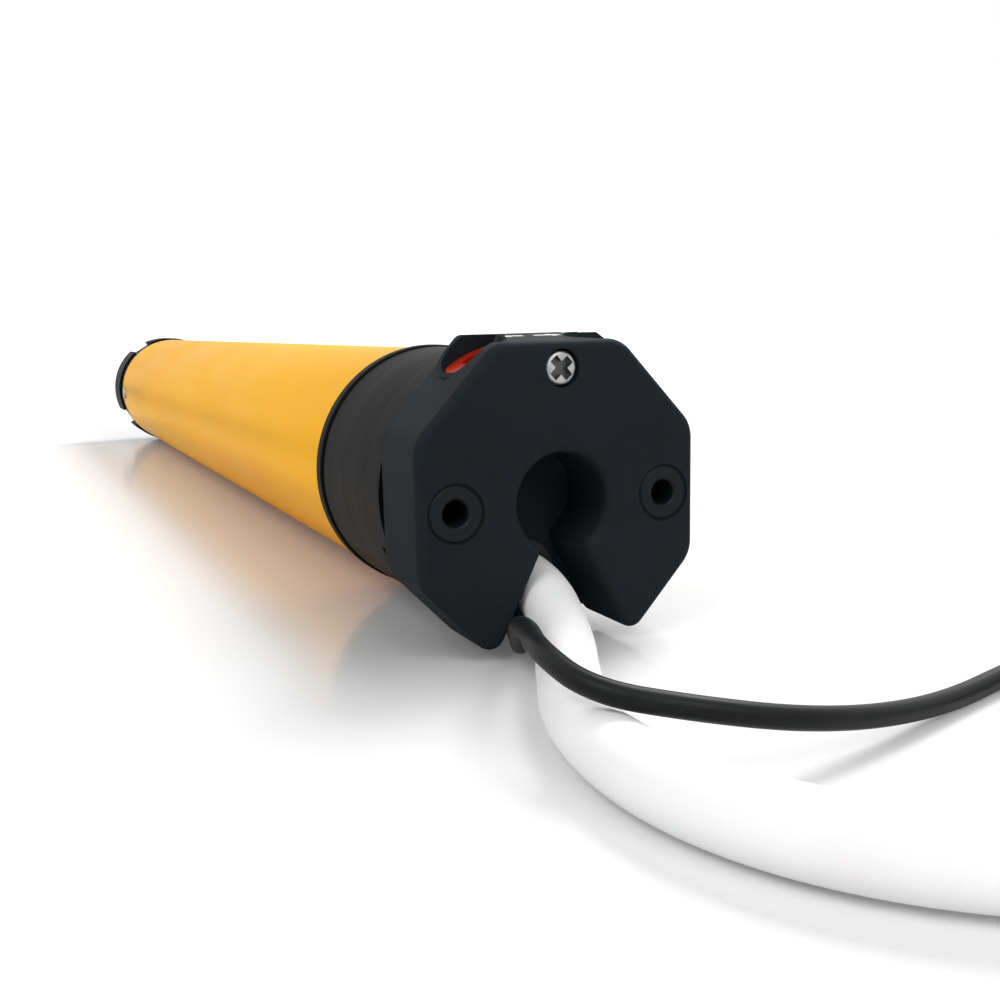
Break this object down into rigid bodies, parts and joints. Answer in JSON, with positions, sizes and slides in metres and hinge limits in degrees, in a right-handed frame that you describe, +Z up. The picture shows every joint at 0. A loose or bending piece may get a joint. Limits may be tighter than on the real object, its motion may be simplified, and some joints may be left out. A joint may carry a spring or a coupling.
{
  "type": "tubular roller blind motor",
  "caption": "Tubular motor for a roller blind or shutter: eight-sided black head with cable notch, turning crown, golden tube with motor, brake and planet gears, and a drive wheel.",
  "frame": {"origin": "centre of the head's front face, on the motor's axis, midway between the two fixing holes", "axes": "+Y along the motor's axis from the head to the drive wheel, +Z up with the cable notch below, +X to the right seen from the head"},
  "size_m": [0.1549, 0.6032, 0.0485],
  "materials": {
    "head_plastic": "fine matte grain",
    "crown_plastic": "satin",
    "gold_tube": "gloss",
    "zinc_steel": "zinc plated",
    "sleeve_black": "black oxide",
    "adjuster_red": "semi gloss",
    "adjuster_white": "semi gloss",
    "grommet_rubber": "matte",
    "white_sheath": "soft satin",
    "black_sheath": "soft satin",
    "core_ends": "satin",
    "tie_fabric": "matte",
    "inner_nylon": "natural nylon",
    "chassis_plastic": "matte",
    "plunger_red": "semi gloss",
    "capacitor_can": "gloss",
    "cast_aluminium": "as cast",
    "bearing_steel": "ground",
    "core_steel": "laminated",
    "copper_wire": "varnished",
    "brake_steel": "turned",
    "brake_lining": "matte",
    "gear_steel": "sintered",
    "bush_bronze": "oiled"
  },
  "bodies": {
    "motor": {"head_cover": "head_plastic", "head_base": "head_plastic", "crown_retainer": "crown_plastic", "gearbox_cap": "crown_plastic", "motor_tube": "gold_tube", "cover_screw": "zinc_steel", "tube_screws": "zinc_steel", "clamp_screws": "zinc_steel", "cam_spindle": "zinc_steel", "fixing_sleeves": "sleeve_black", "cable_grommet": "grommet_rubber", "power_cable_run": "white_sheath", "power_cable_coil": "white_sheath", "control_lead_run": "black_sheath", "control_lead_coil": "black_sheath", "power_cable_cores": "core_ends", "control_lead_cores": "core_ends", "coil_ties": "tie_fabric", "cable_clamp": "inner_nylon", "capacitor_holder": "inner_nylon", "limit_chassis": "chassis_plastic", "limit_switches": "chassis_plastic", "thermal_cutout": "chassis_plastic", "capacitor": "capacitor_can", "front_end_bell": "cast_aluminium", "rear_end_bell": "cast_aluminium", "rotor_bearings": "bearing_steel", "stator_core": "core_steel", "stator_windings": "copper_wire", "brake_coil": "brake_steel", "brake_spring": "brake_steel", "ring_gear": "gear_steel", "output_bush": "bush_bronze"},
    "adjuster_left": {"limit_adjuster_left": "adjuster_red"},
    "adjuster_right": {"limit_adjuster_right": "adjuster_white"},
    "crown": {"crown_ring": "crown_plastic"},
    "pinion": {"limit_pinion": "inner_nylon"},
    "cam_front": {"cam_wheel_front": "inner_nylon"},
    "cam_rear": {"cam_wheel_rear": "inner_nylon"},
    "plunger_front": {"switch_plunger_front": "plunger_red"},
    "plunger_rear": {"switch_plunger_rear": "plunger_red"},
    "brake_armature": {"brake_plate": "brake_steel"},
    "rotor": {"rotor_core": "core_steel", "rotor_shaft": "bearing_steel", "brake_disc": "brake_lining"},
    "first_carrier": {"carrier_1": "gear_steel"},
    "second_carrier": {"carrier_2": "gear_steel"},
    "output": {"output_carrier": "gear_steel", "drive_wheel": "crown_plastic", "wheel_clip": "zinc_steel"},
    "planet_1_1_body": {"planet_1_1": "inner_nylon"},
    "planet_1_2_body": {"planet_1_2": "inner_nylon"},
    "planet_1_3_body": {"planet_1_3": "inner_nylon"},
    "planet_2_1_body": {"planet_2_1": "gear_steel"},
    "planet_2_2_body": {"planet_2_2": "gear_steel"},
    "planet_2_3_body": {"planet_2_3": "gear_steel"},
    "planet_3_1_body": {"planet_3_1": "gear_steel"},
    "planet_3_2_body": {"planet_3_2": "gear_steel"},
    "planet_3_3_body": {"planet_3_3": "gear_steel"}
  },
  "joints": [
    {"name": "adjuster_left_turn", "type": "hinge", "parent": "motor", "child": "adjuster_left", "pos_m": [0, 0.0086, 0], "axis": [-0.4384, 0, 0.8988], "continuous": true},
    {"name": "adjuster_right_turn", "type": "hinge", "parent": "motor", "child": "adjuster_right", "pos_m": [0, 0.0086, 0], "axis": [0.4384, 0, 0.8988], "continuous": true},
    {"name": "crown_spin", "type": "hinge", "parent": "motor", "child": "crown", "pos_m": [0, 0.034, 0], "axis": [0, 1, 0], "continuous": true},
    {"name": "pinion_spin", "type": "hinge", "parent": "motor", "child": "pinion", "pos_m": [0, 0.034, 0.01375], "axis": [0, 1, 0], "continuous": true},
    {"name": "cam_front_spin", "type": "hinge", "parent": "motor", "child": "cam_front", "pos_m": [0, 0.042, 0.00335], "axis": [0, 1, 0], "continuous": true},
    {"name": "cam_rear_spin", "type": "hinge", "parent": "motor", "child": "cam_rear", "pos_m": [0, 0.046, 0.00335], "axis": [0, 1, 0], "continuous": true},
    {"name": "plunger_front_press", "type": "slide", "parent": "motor", "child": "plunger_front", "axis": [0, 0, 1], "range_m": [-0.0008, 0], "stiffness_N_per_m": 150, "springref_m": 0.0008},
    {"name": "plunger_rear_press", "type": "slide", "parent": "motor", "child": "plunger_rear", "axis": [0, 0, 1], "range_m": [-0.0008, 0], "stiffness_N_per_m": 150, "springref_m": 0.0008},
    {"name": "brake_release", "type": "slide", "parent": "motor", "child": "brake_armature", "axis": [0, 1, 0], "range_m": [-0.0006, 0], "stiffness_N_per_m": 4000, "springref_m": 0.001},
    {"name": "rotor_spin", "type": "hinge", "parent": "motor", "child": "rotor", "pos_m": [0, 0.2, 0], "axis": [0, 1, 0], "continuous": true},
    {"name": "first_carrier_spin", "type": "hinge", "parent": "motor", "child": "first_carrier", "pos_m": [0, 0.31, 0], "axis": [0, 1, 0], "continuous": true},
    {"name": "second_carrier_spin", "type": "hinge", "parent": "motor", "child": "second_carrier", "pos_m": [0, 0.31, 0], "axis": [0, 1, 0], "continuous": true},
    {"name": "output_spin", "type": "hinge", "parent": "motor", "child": "output", "pos_m": [0, 0.31, 0], "axis": [0, 1, 0], "continuous": true},
    {"name": "planet_1_1_spin", "type": "hinge", "parent": "first_carrier", "child": "planet_1_1_body", "pos_m": [0.0099, 0.31, 0], "axis": [0, 1, 0], "continuous": true},
    {"name": "planet_1_2_spin", "type": "hinge", "parent": "first_carrier", "child": "planet_1_2_body", "pos_m": [-0.00495, 0.31, 0.00857], "axis": [0, 1, 0], "continuous": true},
    {"name": "planet_1_3_spin", "type": "hinge", "parent": "first_carrier", "child": "planet_1_3_body", "pos_m": [-0.00495, 0.31, -0.00857], "axis": [0, 1, 0], "continuous": true},
    {"name": "planet_2_1_spin", "type": "hinge", "parent": "second_carrier", "child": "planet_2_1_body", "pos_m": [0.0099, 0.31, 0], "axis": [0, 1, 0], "continuous": true},
    {"name": "planet_2_2_spin", "type": "hinge", "parent": "second_carrier", "child": "planet_2_2_body", "pos_m": [-0.00495, 0.31, 0.00857], "axis": [0, 1, 0], "continuous": true},
    {"name": "planet_2_3_spin", "type": "hinge", "parent": "second_carrier", "child": "planet_2_3_body", "pos_m": [-0.00495, 0.31, -0.00857], "axis": [0, 1, 0], "continuous": true},
    {"name": "planet_3_1_spin", "type": "hinge", "parent": "output", "child": "planet_3_1_body", "pos_m": [0.0099, 0.31, 0], "axis": [0, 1, 0], "continuous": true},
    {"name": "planet_3_2_spin", "type": "hinge", "parent": "output", "child": "planet_3_2_body", "pos_m": [-0.00495, 0.31, 0.00857], "axis": [0, 1, 0], "continuous": true},
    {"name": "planet_3_3_spin", "type": "hinge", "parent": "output", "child": "planet_3_3_body", "pos_m": [-0.00495, 0.31, -0.00857], "axis": [0, 1, 0], "continuous": true}
  ],
  "couplings": [
    {"joint": "pinion_spin", "follows": "crown_spin", "ratio": 4.125},
    {"joint": "cam_front_spin", "follows": "crown_spin", "ratio": -1.2375},
    {"joint": "cam_rear_spin", "follows": "crown_spin", "ratio": -1.2375},
    {"joint": "first_carrier_spin", "follows": "rotor_spin", "ratio": 0.16667},
    {"joint": "second_carrier_spin", "follows": "rotor_spin", "ratio": 0.027778},
    {"joint": "output_spin", "follows": "rotor_spin", "ratio": 0.0046296},
    {"joint": "planet_1_1_spin", "follows": "rotor_spin", "ratio": -0.41667},
    {"joint": "planet_1_2_spin", "follows": "rotor_spin", "ratio": -0.41667},
    {"joint": "planet_1_3_spin", "follows": "rotor_spin", "ratio": -0.41667},
    {"joint": "planet_2_1_spin", "follows": "rotor_spin", "ratio": -0.069444},
    {"joint": "planet_2_2_spin", "follows": "rotor_spin", "ratio": -0.069444},
    {"joint": "planet_2_3_spin", "follows": "rotor_spin", "ratio": -0.069444},
    {"joint": "planet_3_1_spin", "follows": "rotor_spin", "ratio": -0.011574},
    {"joint": "planet_3_2_spin", "follows": "rotor_spin", "ratio": -0.011574},
    {"joint": "planet_3_3_spin", "follows": "rotor_spin", "ratio": -0.011574}
  ]
}
